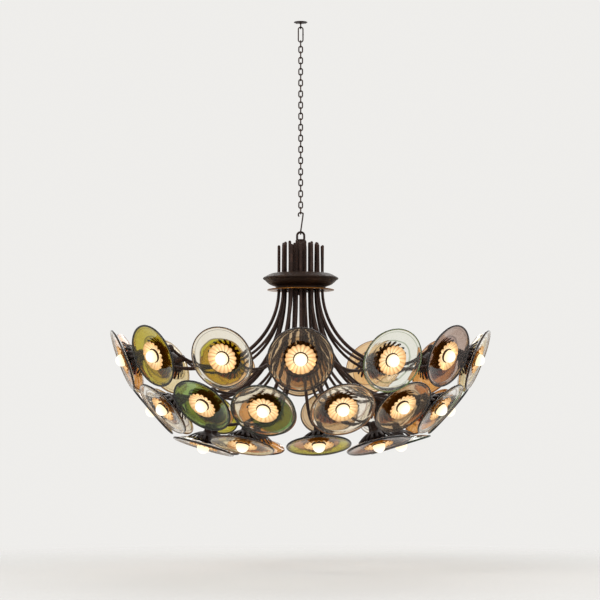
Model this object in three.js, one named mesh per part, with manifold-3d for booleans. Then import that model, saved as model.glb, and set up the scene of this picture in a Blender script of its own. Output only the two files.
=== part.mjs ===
// A wrought iron chandelier with three tiers of lamps, each behind a round pane of hand-made glass.
// Millimetres, +Z up. The origin is on the ceiling, where the hook's flange meets it.
import * as THREE from "three";
import { mergeVertices } from "three/addons/utils/BufferGeometryUtils.js";
import Module from "manifold-3d";

const wasm = await Module();
wasm.setup();

// Clearances
const SLIP = 0.3; // between pieces that sit in or on each other
const SWING_GAP = 0.4; // between two wires that swing on each other
const WELD_DEPTH = 0.5; // how far two fixed links sink into each other

// Ceiling hook
const FLANGE_RADIUS = 18;
const FLANGE_THICKNESS = 3;
const HOOK_WIRE = 1.8;
const HOOK_BEND = 5.6;
const HOOK_SHANK = 3.4;
const HOOK_TURN = 1.62 * Math.PI;

// Chain: wire radii, widths and lengths are on the wire's centre line
const LONG_LINK_WIRE = 1.7;
const LONG_LINK_BEND = 6.2;
const LONG_LINK_LENGTH = 40.2;
const CHAIN_WIRE = 1.6;
const CHAIN_BEND = 4.9;
const CHAIN_LINK_LENGTH = 17.621;
const CHAIN_RUNS = [16, 8, 7];
const S_HOOK_WIRE = 1.9;
const S_HOOK_BEND = 6.2;
const S_HOOK_LENGTH = 57.7;

// Top loop and centre post
const LOOP_WIRE = 3;
const LOOP_BEND = 9.4;
const LOOP_RISE = 22;
const LOOP_BASE_HEIGHT = 6;
const SPIGOT_RADIUS = 5.5;
const SPIGOT_LENGTH = 12;
const POST_TOP_RADIUS = 13.7;
const POST_RADIUS = 16;
const POST_STEP = 12.3;
const POST_LENGTH = 134;
const NUT_WALL = 6;
const NUT_HEIGHT = 8;

// Arm rods and the rings that they are welded into
const ROD_RADIUS = 3.4;
const NUT_TO_ROD = 4.6;
const ROD_WEB = 7.6;
const RING_LIP = 3;
const RING_EDGE = 1;
const RING_TOP = -84.7;
const RING_THICKNESS = 8;

// Collar: the dish around the rings and the thin plate under it
const DISH_RADIUS = 100;
const DISH_FLAT = 14;
const DISH_RIM_DROP = 13;
const DISH_BOWL_DROP = 34;
const NECK_WALL = 1.8;
const NECK_DROP = 41.5;
const PLATE_RADIUS = 88.5;
const PLATE_THICKNESS = 3;

// Glass panes
const PANE_RADIUS = 83;
const PANE_THICKNESS = 5;
const PANE_DISH = 15; // how far the rim stands forward of the hub
const PANE_BEND_RADIUS = 46;
const PANE_BEND = 3.6; // the pane is almost flat out to the bend radius, and curves up from there
const NECK_TO_PANE = 1;

// Lamp head, measured along its own axis from the middle of the pane
const HOLDER_RADIUS = 10.5;
const HOLDER_BACK = 50;
const CROWN_RADIUS = 49;
const CROWN_DEPTH = 22;
const CROWN_SHEET = 2;
const HEAD_NECK = 9;
const REFLECTOR_RADIUS = 37;
const REFLECTOR_DEPTH = 12;
const BULB_RADIUS = 16;
const BULB_FRONT = 32;
const ARM_IN_HOLDER = 4;

// Tiers: heights are from the top of the post, azimuths in degrees from the front towards +X.
// Each lamp is bent by hand, so its azimuth and its drop under the tier's height are listed.
const UPPER = {
  name: "upper",
  azimuths: [0, 28.5, 51.6, 76.4, 102.9, 128.6, 154.3, 180, 205.7, 231.4, 257.1, 281.2, 308.3, 336],
  drops: [16, 16, 0, 2, 0, 5, 0, 8, 0, 4, 0, 2, 0, 12],
  reach: 458,
  height: -309.7,
  dip: 21,
  rodTop: -9.7,
  bendStart: -128.7,
  fall: 88,
  runOut: 170,
  saddleBack: 158,
  saddleDrop: 25,
  arrive: 40,
};
const MIDDLE_COUNT = 14;
const MIDDLE_FIRST = 15.4;
const MIDDLE_FRONT_GAP = 29;
const MIDDLE = {
  name: "middle",
  azimuths: Array.from(
    { length: MIDDLE_COUNT },
    (_, i) => MIDDLE_FIRST + (i * (360 - MIDDLE_FRONT_GAP)) / (MIDDLE_COUNT - 1),
  ),
  drops: [5, -2, 0, 0, 2, 0, 0, 3, 0, 0, 1, 0, -6, 8],
  reach: 380,
  height: -435.7,
  dip: 41,
  rodTop: -1.2,
  bendStart: -127.7,
  fall: 135,
  runOut: 150,
  saddleBack: 112,
  saddleDrop: -22,
  arrive: 8,
};
const LOWER = {
  name: "lower",
  azimuths: [10, 49.2, 89, 129, 168.7, 208.3, 247.5, 286.6, 326],
  drops: [0, 0, -2, 0, 2, 0, 0, 3, 0],
  reach: 259,
  height: -524.7,
  dip: 73,
  rodTop: -4,
  bendStart: -127.7,
  fall: 215,
  runOut: 115,
  saddleBack: 62,
  saddleDrop: -43,
  arrive: 15,
};

// Facets
const PANE_SIDES = 14;
const HEAD_SIDES = 7;
const ROD_SIDES = 5;
const FALL_STEPS = 6;
const SADDLE_STEPS = 3;

// Materials
const iron = (roughness) => new THREE.MeshStandardMaterial({ color: 0x1d1511, roughness, metalness: 0.8 });
const glass = (color) =>
  new THREE.MeshStandardMaterial({ color, roughness: 0.08, metalness: 0, transparent: true, opacity: 0.55 });
const SMOKE = 0x8a5f35;
const CLEAR = 0xd8cdb4;
const STRAW = 0xcdbf8a;
const GREY = 0x7a5a48;
const AMBER = 0xc07f35;
const OLIVE = 0xa8982a;
const MOSS = 0x6f7a35;
UPPER.colours = [SMOKE, CLEAR, GREY, CLEAR, STRAW, AMBER, AMBER, SMOKE, AMBER, STRAW, AMBER, CLEAR, OLIVE, CLEAR];
MIDDLE.colours = [STRAW, SMOKE, CLEAR, MOSS, AMBER, CLEAR, SMOKE, AMBER, OLIVE, CLEAR, SMOKE, CLEAR, MOSS, CLEAR];
LOWER.colours = [OLIVE, GREY, CLEAR, AMBER, CLEAR, AMBER, SMOKE, CLEAR, STRAW];

const root = new THREE.Group();
const rad = THREE.MathUtils.degToRad;

function addMesh(parent, name, geometry, material) {
  const mesh = new THREE.Mesh(geometry, material);
  mesh.name = name;
  parent.add(mesh);
  return mesh;
}

// A closed geometry as a solid that can be joined and cut
function solidOf(geometry) {
  const bare = geometry.index ? geometry.toNonIndexed() : geometry.clone();
  bare.deleteAttribute("normal");
  bare.deleteAttribute("uv");
  const merged = mergeVertices(bare, 1e-3);
  return new wasm.Manifold(
    new wasm.Mesh({
      numProp: 3,
      vertProperties: new Float32Array(merged.attributes.position.array),
      triVerts: new Uint32Array(merged.index.array),
    }),
  );
}

function geometryOf(solid) {
  const mesh = solid.getMesh();
  const geometry = new THREE.BufferGeometry();
  geometry.setAttribute("position", new THREE.BufferAttribute(new Float32Array(mesh.vertProperties), 3));
  geometry.setIndex(new THREE.BufferAttribute(new Uint32Array(mesh.triVerts), 1));
  geometry.computeVertexNormals();
  return geometry;
}

const joined = (geometries) => geometryOf(geometries.map(solidOf).reduce((a, b) => a.add(b)));

// A turned shape about Z from [radius, height] points, listed from the top down
function turned(points, sides) {
  const profile = points.map(([r, z]) => new THREE.Vector2(r, z)).reverse();
  return new THREE.LatheGeometry(profile, sides).rotateX(Math.PI / 2);
}

// A turned ring: its profile closes on itself
const turnedRing = (points, sides) => turned([...points, points[0]], sides);

// A round bar along a path
function bar(path, radius, sides, steps) {
  const section = new THREE.Shape();
  for (let i = 0; i < sides; i++) {
    const angle = (i * 2 * Math.PI) / sides;
    const x = radius * Math.cos(angle);
    const y = radius * Math.sin(angle);
    if (i) section.lineTo(x, y);
    else section.moveTo(x, y);
  }
  section.closePath();
  return new THREE.ExtrudeGeometry(section, { steps, bevelEnabled: false, extrudePath: path });
}

// A closed oval link in the XZ plane, centred on the origin. Its flats touch the true bend radius.
const LINK_SEGMENTS = 8;
const LINK_SIDES = 4;
function ovalLink(length, bend, wire) {
  const ring = new THREE.TorusGeometry(bend / Math.cos(Math.PI / LINK_SEGMENTS), wire, LINK_SIDES, LINK_SEGMENTS);
  ring.rotateZ(Math.PI / LINK_SEGMENTS);
  const at = ring.attributes.position;
  const leg = length / 2 - bend;
  for (let i = 0; i < at.count; i++) at.setY(i, at.getY(i) + Math.sign(at.getY(i)) * leg);
  return ring.rotateX(Math.PI / 2);
}

const turnedToSide = (geometry) => geometry.rotateZ(Math.PI / 2);
const lifted = (geometry, z) => geometry.translate(0, 0, z);

// Ceiling hook: flange, shank and an open eye in the YZ plane
const hookEyeZ = -FLANGE_THICKNESS - HOOK_SHANK - HOOK_BEND;
const hookPoints = [new THREE.Vector3(0, 0, -FLANGE_THICKNESS / 2)];
const HOOK_STEPS = 11;
for (let i = 0; i <= HOOK_STEPS; i++) {
  const angle = (i * HOOK_TURN) / HOOK_STEPS;
  hookPoints.push(
    new THREE.Vector3(0, HOOK_BEND * Math.sin(angle), hookEyeZ + HOOK_BEND * Math.cos(angle)),
  );
}
const flange = turned(
  [
    [0, 0],
    [FLANGE_RADIUS, 0],
    [FLANGE_RADIUS, -FLANGE_THICKNESS / 2],
    [FLANGE_RADIUS / 2, -FLANGE_THICKNESS],
    [0, -FLANGE_THICKNESS],
  ],
  20,
);
const hookBar = bar(new THREE.CatmullRomCurve3(hookPoints), HOOK_WIRE, 6, 16);
addMesh(root, "ceiling_hook", joined([flange, hookBar]), iron(0.5));

// Each hanging piece starts inside the one above it
let wireAbove = HOOK_WIRE;
let lowestAbove = hookEyeZ - HOOK_BEND;
function hangFrom(wire, length, gap) {
  const top = lowestAbove + wireAbove + wire + gap;
  wireAbove = wire;
  lowestAbove = top - length;
  return top - length / 2;
}

const longLinkZ = hangFrom(LONG_LINK_WIRE, LONG_LINK_LENGTH, SWING_GAP);
addMesh(
  root,
  "long_link",
  lifted(ovalLink(LONG_LINK_LENGTH, LONG_LINK_BEND, LONG_LINK_WIRE), longLinkZ),
  iron(0.5),
);

let linkNumber = 0;
CHAIN_RUNS.forEach((count, run) => {
  const links = [];
  for (let i = 0; i < count; i++) {
    const z = hangFrom(CHAIN_WIRE, CHAIN_LINK_LENGTH, i ? -WELD_DEPTH : SWING_GAP);
    const link = ovalLink(CHAIN_LINK_LENGTH, CHAIN_BEND, CHAIN_WIRE);
    links.push(lifted(linkNumber % 2 ? link : turnedToSide(link), z));
    linkNumber += 1;
  }
  addMesh(root, `chain_run_${run + 1}`, joined(links), iron(0.45));
});

// S hook, twisted a quarter turn: its upper eye is in the XZ plane and its lower eye in the YZ plane
const sHookZ = hangFrom(S_HOOK_WIRE, S_HOOK_LENGTH, SWING_GAP);
const sHookPoints = [];
const EYE_STEPS = 6;
const EYE_TURN = 1.3 * Math.PI;
const eyeCentre = S_HOOK_LENGTH / 2 - S_HOOK_BEND;
for (let i = EYE_STEPS; i >= 0; i--) {
  const angle = -Math.PI / 2 + (i * EYE_TURN) / EYE_STEPS;
  sHookPoints.push(
    new THREE.Vector3(-S_HOOK_BEND * Math.sin(angle), 0, eyeCentre + S_HOOK_BEND * Math.cos(angle)),
  );
}
for (let i = 0; i <= EYE_STEPS; i++) {
  const angle = -Math.PI / 2 + (i * EYE_TURN) / EYE_STEPS;
  sHookPoints.push(
    new THREE.Vector3(0, S_HOOK_BEND * Math.sin(angle), -eyeCentre - S_HOOK_BEND * Math.cos(angle)),
  );
}
addMesh(
  root,
  "s_hook",
  lifted(bar(new THREE.CatmullRomCurve3(sHookPoints), S_HOOK_WIRE, 6, 26), sHookZ),
  iron(0.45),
);

// The top loop hangs in the S hook. The post turns on the loop's spigot.
const loopWireZ = lowestAbove + wireAbove + LOOP_WIRE + SWING_GAP;
const postTopZ = loopWireZ - LOOP_RISE - LOOP_BASE_HEIGHT + LOOP_WIRE - SLIP;
const fixture = new THREE.Group();
fixture.position.z = postTopZ;
root.add(fixture);

const loopTop = loopWireZ - postTopZ;
const loopPoints = [new THREE.Vector3(-LOOP_BEND, 0, LOOP_BASE_HEIGHT / 2)];
const LOOP_ARC_STEPS = 8;
for (let i = 0; i <= LOOP_ARC_STEPS; i++) {
  const angle = Math.PI - (i * Math.PI) / LOOP_ARC_STEPS;
  loopPoints.push(
    new THREE.Vector3(LOOP_BEND * Math.cos(angle), 0, loopTop - LOOP_BEND * (1 - Math.sin(angle))),
  );
}
loopPoints.push(new THREE.Vector3(LOOP_BEND, 0, LOOP_BASE_HEIGHT / 2));
const loopBar = bar(new THREE.CatmullRomCurve3(loopPoints), LOOP_WIRE, 8, 14);
const loopBase = turned(
  [
    [0, LOOP_BASE_HEIGHT + SLIP],
    [POST_TOP_RADIUS - 1, LOOP_BASE_HEIGHT + SLIP],
    [POST_TOP_RADIUS, LOOP_BASE_HEIGHT - 1],
    [POST_TOP_RADIUS, SLIP],
    [SPIGOT_RADIUS, SLIP],
    [SPIGOT_RADIUS, -SPIGOT_LENGTH],
    [0, -SPIGOT_LENGTH],
  ],
  16,
);
addMesh(fixture, "top_loop", joined([loopBase, loopBar]), iron(0.5));

addMesh(
  fixture,
  "centre_post",
  turned(
    [
      [0, -SPIGOT_LENGTH - 2 * SLIP],
      [SPIGOT_RADIUS + 2 * SLIP, -SPIGOT_LENGTH - 2 * SLIP],
      [SPIGOT_RADIUS + 2 * SLIP, 0],
      [POST_TOP_RADIUS, 0],
      [POST_TOP_RADIUS, -POST_STEP + 1],
      [POST_RADIUS, -POST_STEP],
      [POST_RADIUS, -POST_LENGTH],
      [POST_RADIUS / 2, -POST_LENGTH - POST_RADIUS / 2],
      [0, -POST_LENGTH - POST_RADIUS / 2],
    ],
    20,
  ),
  iron(0.55),
);

// Rings of rods, from the post outwards
const nutRadius = POST_RADIUS + NUT_WALL;
const lowerRing = nutRadius + NUT_TO_ROD + ROD_RADIUS;
const middleRing = lowerRing + 2 * ROD_RADIUS + ROD_WEB;
const upperRing = middleRing + 2 * ROD_RADIUS + ROD_WEB;
const middleRingEdge = middleRing + ROD_RADIUS + RING_LIP;
const upperRingEdge = upperRing + ROD_RADIUS + RING_EDGE;
const ringBottom = RING_TOP - RING_THICKNESS;

const plainRing = (inner, outer, top, bottom, sides) =>
  turnedRing(
    [
      [inner, top],
      [outer, top],
      [outer, bottom],
      [inner, bottom],
    ],
    sides,
  );

addMesh(
  fixture,
  "lock_nut",
  plainRing(
    (POST_RADIUS + SLIP) / Math.cos(Math.PI / 12),
    nutRadius,
    ringBottom - SLIP,
    ringBottom - SLIP - NUT_HEIGHT,
    12,
  ),
  iron(0.5),
);

const dishBore = upperRingEdge + SLIP;
const neckRadius = dishBore + NECK_WALL;
addMesh(
  fixture,
  "collar_dish",
  turnedRing(
    [
      [dishBore / Math.cos(Math.PI / 28), RING_TOP],
      [dishBore + DISH_FLAT, RING_TOP],
      [DISH_RADIUS - 9, RING_TOP - DISH_RIM_DROP / 2],
      [DISH_RADIUS, RING_TOP - DISH_RIM_DROP],
      [DISH_RADIUS - 12, RING_TOP - DISH_RIM_DROP - 8],
      [neckRadius + 2, RING_TOP - DISH_BOWL_DROP],
      [neckRadius, RING_TOP - NECK_DROP],
      [dishBore / Math.cos(Math.PI / 28), RING_TOP - NECK_DROP],
    ],
    28,
  ),
  iron(0.5),
);

addMesh(
  fixture,
  "collar_plate",
  plainRing(
    dishBore / Math.cos(Math.PI / 28),
    PLATE_RADIUS,
    RING_TOP - NECK_DROP - SLIP,
    RING_TOP - NECK_DROP - SLIP - PLATE_THICKNESS,
    28,
  ),
  new THREE.MeshStandardMaterial({ color: 0x8a5c2c, roughness: 0.3, metalness: 0.3 }),
);

// One lamp: where its pane is and how it faces
function lampPlace(tier, number) {
  const azimuth = tier.azimuths[number];
  const out = new THREE.Vector3(Math.sin(rad(azimuth)), -Math.cos(rad(azimuth)), 0);
  const up = new THREE.Vector3(0, 0, 1);
  const height = tier.height - tier.drops[number];
  const centre = out.clone().multiplyScalar(tier.reach).addScaledVector(up, height);
  const axis = out
    .clone()
    .multiplyScalar(Math.cos(rad(tier.dip)))
    .addScaledVector(up, -Math.sin(rad(tier.dip)));
  return { out, up, height, centre, axis };
}

function facing(geometry, place) {
  const turn = new THREE.Quaternion().setFromUnitVectors(new THREE.Vector3(0, 0, 1), place.axis);
  return geometry.applyQuaternion(turn).translate(place.centre.x, place.centre.y, place.centre.z);
}

const lampHead = () =>
  turned(
    [
      [0, BULB_FRONT],
      [BULB_RADIUS, BULB_FRONT - 0.75 * BULB_RADIUS],
      [BULB_RADIUS, PANE_THICKNESS / 2 + REFLECTOR_DEPTH / 2],
      [REFLECTOR_RADIUS, PANE_THICKNESS / 2 + REFLECTOR_DEPTH],
      [HEAD_NECK, PANE_THICKNESS / 2 + 2 * SLIP],
      [HEAD_NECK, -CROWN_DEPTH + CROWN_SHEET],
      [CROWN_RADIUS, -PANE_THICKNESS / 2 + CROWN_SHEET - 2 * SLIP],
      [HOLDER_RADIUS, -CROWN_DEPTH - CROWN_SHEET],
      [HOLDER_RADIUS, -HOLDER_BACK + 3],
      [0, -HOLDER_BACK],
    ],
    HEAD_SIDES,
  );

const pane = () => {
  const hole = (HEAD_NECK + NECK_TO_PANE) / Math.cos(Math.PI / PANE_SIDES);
  return turnedRing(
    [
      [hole, PANE_THICKNESS / 2],
      [PANE_BEND_RADIUS, PANE_THICKNESS / 2 + PANE_BEND],
      [PANE_RADIUS, PANE_THICKNESS / 2 + PANE_DISH],
      [PANE_RADIUS, -PANE_THICKNESS / 2 + PANE_DISH],
      [PANE_BEND_RADIUS, -PANE_THICKNESS / 2 + PANE_BEND],
      [hole, -PANE_THICKNESS / 2],
    ],
    PANE_SIDES,
  );
};

// An arm: a rod that stands in its ring, falls, runs out to a saddle and rises into the lampholder
function arm(tier, ring, place) {
  const at = (r, z) => place.out.clone().multiplyScalar(r).addScaledVector(place.up, z);
  const top = at(ring, tier.rodTop);
  const bend = at(ring, tier.bendStart);
  const saddleR = tier.reach - tier.saddleBack;
  const saddleZ = place.height - tier.saddleDrop;
  const saddle = at(saddleR, saddleZ);
  const end = place.centre.clone().addScaledVector(place.axis, ARM_IN_HOLDER - HOLDER_BACK);
  const lead = saddle.distanceTo(end) / 3;
  const arrival = at(Math.cos(rad(tier.arrive)), Math.sin(rad(tier.arrive)));
  const fall = new THREE.CubicBezierCurve3(
    bend,
    at(ring, tier.bendStart - tier.fall),
    at(saddleR - tier.runOut, saddleZ),
    saddle,
  );
  const rise = new THREE.CubicBezierCurve3(
    saddle,
    at(saddleR + lead, saddleZ),
    end.clone().addScaledVector(arrival, -lead),
    end,
  );
  const stops = [top, ...fall.getPoints(FALL_STEPS), ...rise.getPoints(SADDLE_STEPS).slice(1)];
  return rodThrough(stops);
}

// A rod through a list of points in one upright plane, mitred at each
function rodThrough(stops) {
  const side = stops[0].clone().sub(stops[stops.length - 1]).setZ(0).normalize();
  side.cross(new THREE.Vector3(0, 0, 1));
  const corners = [];
  stops.forEach((point, i) => {
    const before = i ? point.clone().sub(stops[i - 1]).normalize() : null;
    const after = i < stops.length - 1 ? stops[i + 1].clone().sub(point).normalize() : null;
    const along = (before || after).clone().add(after || before).normalize();
    const stretch = before && after ? 1 / Math.sqrt((1 + before.dot(after)) / 2) : 1;
    const across = along.clone().cross(side).normalize();
    for (let k = 0; k < ROD_SIDES; k++) {
      const angle = (k * 2 * Math.PI) / ROD_SIDES;
      corners.push(
        point
          .clone()
          .addScaledVector(side, ROD_RADIUS * Math.sin(angle))
          .addScaledVector(across, ROD_RADIUS * Math.cos(angle) * stretch),
      );
    }
  });
  const faces = [];
  for (let i = 0; i < stops.length - 1; i++) {
    for (let k = 0; k < ROD_SIDES; k++) {
      const a = i * ROD_SIDES + k;
      const b = i * ROD_SIDES + ((k + 1) % ROD_SIDES);
      faces.push(a, a + ROD_SIDES, b, b, a + ROD_SIDES, b + ROD_SIDES);
    }
  }
  const last = (stops.length - 1) * ROD_SIDES;
  for (let k = 1; k < ROD_SIDES - 1; k++) {
    faces.push(0, k, k + 1);
    faces.push(last, last + k + 1, last + k);
  }
  const geometry = new THREE.BufferGeometry().setFromPoints(corners);
  geometry.setIndex(faces);
  return geometry;
}

const twoDigits = (n) => String(n).padStart(2, "0");

function addPanes(tier) {
  tier.azimuths.forEach((_, i) => {
    addMesh(
      fixture,
      `${tier.name}_pane_${twoDigits(i + 1)}`,
      facing(pane(), lampPlace(tier, i)),
      glass(tier.colours[i]),
    );
  });
}

// Upper and middle tiers: arms and lamp heads welded into one ring
function tierPieces(tier, ring) {
  return tier.azimuths.flatMap((_, i) => {
    const place = lampPlace(tier, i);
    return [arm(tier, ring, place), facing(lampHead(), place)];
  });
}

const upperHub = plainRing(middleRingEdge + SLIP, upperRingEdge, RING_TOP, ringBottom, 28);
addMesh(fixture, "upper_arm_tier", joined([upperHub, ...tierPieces(UPPER, upperRing)]), iron(0.5));
addPanes(UPPER);

const middleHub = plainRing(
  (POST_RADIUS + SLIP) / Math.cos(Math.PI / 28),
  middleRingEdge,
  RING_TOP,
  ringBottom,
  28,
);
const drillRadius = (ROD_RADIUS + SLIP) / Math.cos(Math.PI / 6);
let middleTier = solidOf(joined([middleHub, ...tierPieces(MIDDLE, middleRing)]));
for (let i = 0; i < LOWER.azimuths.length; i++) {
  const { out } = lampPlace(LOWER, i);
  const drill = new THREE.CylinderGeometry(drillRadius, drillRadius, 3 * RING_THICKNESS, 6);
  drill.rotateX(Math.PI / 2).translate(out.x * lowerRing, out.y * lowerRing, RING_TOP);
  middleTier = middleTier.subtract(solidOf(drill));
}
addMesh(fixture, "middle_arm_tier", geometryOf(middleTier), iron(0.5));
addPanes(MIDDLE);

// Lower tier: each arm is its own piece, passed up through the middle tier's ring
LOWER.azimuths.forEach((_, i) => {
  const place = lampPlace(LOWER, i);
  addMesh(
    fixture,
    `lower_arm_${twoDigits(i + 1)}`,
    joined([arm(LOWER, lowerRing, place), facing(lampHead(), place)]),
    iron(0.5),
  );
});
addPanes(LOWER);

export default root;
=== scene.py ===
# A hanging iron chandelier. Three tiers of lamps, each behind a round pane of hand-made glass, are
# carried by bent iron rods that stand in rings around a centre post, which hangs on a forged chain.
# Metres, +Z up. The origin is on the ceiling, where the hook's flange meets it.
import math
import random
import bmesh
import bpy
from mathutils import Matrix, Vector, noise


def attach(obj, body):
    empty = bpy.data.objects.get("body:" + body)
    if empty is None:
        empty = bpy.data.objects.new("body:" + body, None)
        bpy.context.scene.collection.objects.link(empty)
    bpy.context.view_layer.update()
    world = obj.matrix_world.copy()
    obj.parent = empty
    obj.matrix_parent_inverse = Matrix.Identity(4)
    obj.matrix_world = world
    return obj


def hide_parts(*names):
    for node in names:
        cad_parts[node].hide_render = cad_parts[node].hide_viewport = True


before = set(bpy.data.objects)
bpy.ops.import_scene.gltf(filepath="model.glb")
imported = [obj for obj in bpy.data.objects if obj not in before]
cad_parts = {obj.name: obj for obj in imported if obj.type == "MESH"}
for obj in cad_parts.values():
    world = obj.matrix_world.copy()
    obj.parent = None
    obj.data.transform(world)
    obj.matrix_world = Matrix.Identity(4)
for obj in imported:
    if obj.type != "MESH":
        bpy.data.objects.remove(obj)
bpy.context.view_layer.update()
scene = bpy.context.scene

# --------------------------------
# Viewpoint: the photographer stood well back and held the camera just under the lowest lamps,
# so the picture looks up by about four degrees through a long lens.
EYE = Vector((0.0, -5.62, -1.123))
AIM = Vector((-0.0018, 0.0, -0.742))
LENS = 128
SENSOR = 36
camera = bpy.data.objects.new("viewpoint", bpy.data.cameras.new("viewpoint"))
camera.data.lens = LENS
camera.data.sensor_width = SENSOR
camera.data.clip_end = 60
camera.location = EYE
camera.rotation_euler = (AIM - EYE).to_track_quat("-Z", "Y").to_euler()
scene.collection.objects.link(camera)
scene.camera = camera

# --------------------------------
# Ceiling hook: a domed iron flange with a forged open eye under it. It is screwed to the ceiling
# through the flange, and the eye is bent from one piece of round bar.
FLANGE_RADIUS = 0.018
FLANGE_THICKNESS = 0.003
FLANGE_FACE = -0.00005
HOOK_WIRE = 0.0018
HOOK_BEND = 0.0056
HOOK_SHANK = 0.0034
HOOK_TURN = 1.62 * math.pi
HOOK_STEPS = 11
SCREWS = 3
SCREW_CIRCLE = 0.0128
SCREW_HEAD = 0.0024
SCREW_SEAT = -0.0026
FORGED_SPECULAR = 0.32


def paint(code):
    """A colour written as it looks, as the linear values that a material holds."""
    parts = [int(code[i : i + 2], 16) / 255 for i in (0, 2, 4)]
    return (*[c / 12.92 if c < 0.04045 else ((c + 0.055) / 1.055) ** 2.4 for c in parts], 1)


class Amount:
    """What a node puts out, which sums can be written with as with a number."""

    def __init__(self, tree, socket):
        self.tree, self.socket = tree, socket

    def by(self, operation, *others):
        return sums(self.tree, operation, self, *others)

    __add__ = lambda self, other: self.by("ADD", other)
    __sub__ = lambda self, other: self.by("SUBTRACT", other)
    __mul__ = lambda self, other: self.by("MULTIPLY", other)
    __truediv__ = lambda self, other: self.by("DIVIDE", other)
    __pow__ = lambda self, other: self.by("POWER", other)
    __abs__ = lambda self: self.by("ABSOLUTE")
    __rsub__ = lambda self, other: sums(self.tree, "SUBTRACT", other, self)
    __rtruediv__ = lambda self, other: sums(self.tree, "DIVIDE", other, self)


def fill(tree, inputs, values):
    """Sets inputs, and links those whose value comes from another node."""
    for key, value in values.items():
        value = getattr(value, "socket", value)
        if isinstance(value, bpy.types.NodeSocket):
            tree.links.new(value, inputs[key])
        else:
            inputs[key].default_value = value


def put(tree, kind, inputs=None, **settings):
    """A node in a tree, with its settings and its inputs."""
    node = tree.nodes.new(kind)
    for name, value in settings.items():
        setattr(node, name, value)
    fill(tree, node.inputs, inputs or {})
    return node


def result(tree, kind, inputs=None, output=0, **settings):
    """What a new node puts out."""
    return Amount(tree, put(tree, kind, inputs, **settings).outputs[output])


def sums(tree, operation, *values):
    """A maths node's result."""
    return result(tree, "ShaderNodeMath", dict(enumerate(values)), operation=operation)


def ramp(value, low, high, to_low=0.0, to_high=1.0):
    """A value eased from one range to another."""
    ends = {"From Min": low, "From Max": high, "To Min": to_low, "To Max": to_high}
    return result(value.tree, "ShaderNodeMapRange", {"Value": value, **ends}, interpolation_type="SMOOTHSTEP")


def blend_colours(share, first, second):
    """The first colour where the share is none, the second where it is whole."""
    mix = put(share.tree, "ShaderNodeMix", {"Factor": share}, data_type="RGBA")
    fill(share.tree, [s for s in mix.inputs if s.type == "RGBA"], {0: first, 1: second})
    return Amount(share.tree, next(s for s in mix.outputs if s.type == "RGBA"))


def open_tree(name, kind, inputs, outputs):
    """A new group: its tree, what it is given and what it puts out. Inputs have a start or a kind."""
    tree = bpy.data.node_groups.new(name, kind)
    for label, start in inputs.items():
        socket = {int: "Int", float: "Float", tuple: "Color"}.get(type(start), start)
        made = tree.interface.new_socket(label, in_out="INPUT", socket_type="NodeSocket" + socket)
        if socket != start:
            made.default_value = start
    for label, socket in outputs.items():
        tree.interface.new_socket(label, in_out="OUTPUT", socket_type="NodeSocket" + socket)
    given = put(tree, "NodeGroupInput").outputs
    return tree, {label: Amount(tree, given[label]) for label in inputs}, put(tree, "NodeGroupOutput").inputs


# Forged metal: hammer dimples, fine pits, and a brown bloom where the black has rubbed thin.
FINISH_OUTPUTS = {"Color": "Color", "Roughness": "Float", "Height": "Float"}
forged, given, taken = open_tree(
    "forged_finish",
    "ShaderNodeTree",
    {
        "Where": "Vector",
        "Grain": 1.0,
        "Black": (0.02, 0.014, 0.01, 1),
        "Worn": (0.08, 0.05, 0.03, 1),
        "Bloom": (0.12, 0.05, 0.02, 1),
        "Wear": 0.5,
        "Dull": 0.5,
    },
    FINISH_OUTPUTS,
)
place, grain = {"Vector": given["Where"]}, given["Grain"]
clouds = result(forged, "ShaderNodeTexNoise", {**place, "Scale": grain * 38.0, "Detail": 6.0, "Roughness": 0.6})
pits = result(forged, "ShaderNodeTexNoise", {**place, "Scale": grain * 420.0, "Detail": 3.0})
dimples = result(forged, "ShaderNodeTexVoronoi", {**place, "Scale": grain * 150.0}, feature="SMOOTH_F1")
rubbed = ramp(clouds, 0.42, 0.72) * given["Wear"]
bloomed = ramp(pits, 0.5, 0.7) * ramp(clouds, 0.5, 0.35)
base = blend_colours(rubbed, given["Black"], given["Worn"])
tone = blend_colours(bloomed * given["Wear"], base, given["Bloom"])
dullness = given["Dull"] + ramp(clouds, 0.3, 0.75, 0.12, -0.14) + ramp(pits, 0.35, 0.7, -0.05, 0.09)
fill(forged, taken, {"Color": tone, "Roughness": dullness, "Height": dimples * 0.7 + pits * 0.22})


def new_material(name):
    """A material with one Principled shader: the tree, the shader and object coordinates."""
    made = bpy.data.materials.new(name)
    made.use_nodes = True
    tree = made.node_tree
    tree.nodes.clear()
    shader = put(tree, "ShaderNodeBsdfPrincipled")
    put(tree, "ShaderNodeOutputMaterial", {"Surface": shader.outputs[0]})
    return made, tree, shader.inputs, result(tree, "ShaderNodeTexCoord", output="Object")


def surfaced(tree, shader, group, values, relief, depth):
    """Feeds a shader with a finish that has its own values."""
    finish = put(tree, "ShaderNodeGroup", values, node_tree=group).outputs
    bump = put(tree, "ShaderNodeBump", {"Strength": relief, "Distance": depth, "Height": finish["Height"]})
    fill(tree, shader, {"Base Color": finish["Color"], "Roughness": finish["Roughness"], "Normal": bump.outputs[0]})


def forged_metal(name, black, worn, bloom, grain=1.0, wear=0.5, dull=0.5, metallic=0.6, relief=0.35, depth=0.0004):
    """A metal with the forged finish, in its own colours and with its own wear."""
    made, tree, shader, where = new_material(name)
    colours = {"Black": paint(black), "Worn": paint(worn), "Bloom": paint(bloom)}
    values = {"Where": where, "Grain": grain, **colours, "Wear": wear, "Dull": dull}
    surfaced(tree, shader, forged, values, relief, depth)
    fill(tree, shader, {"Metallic": metallic, "Specular IOR Level": FORGED_SPECULAR})
    return made


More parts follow.
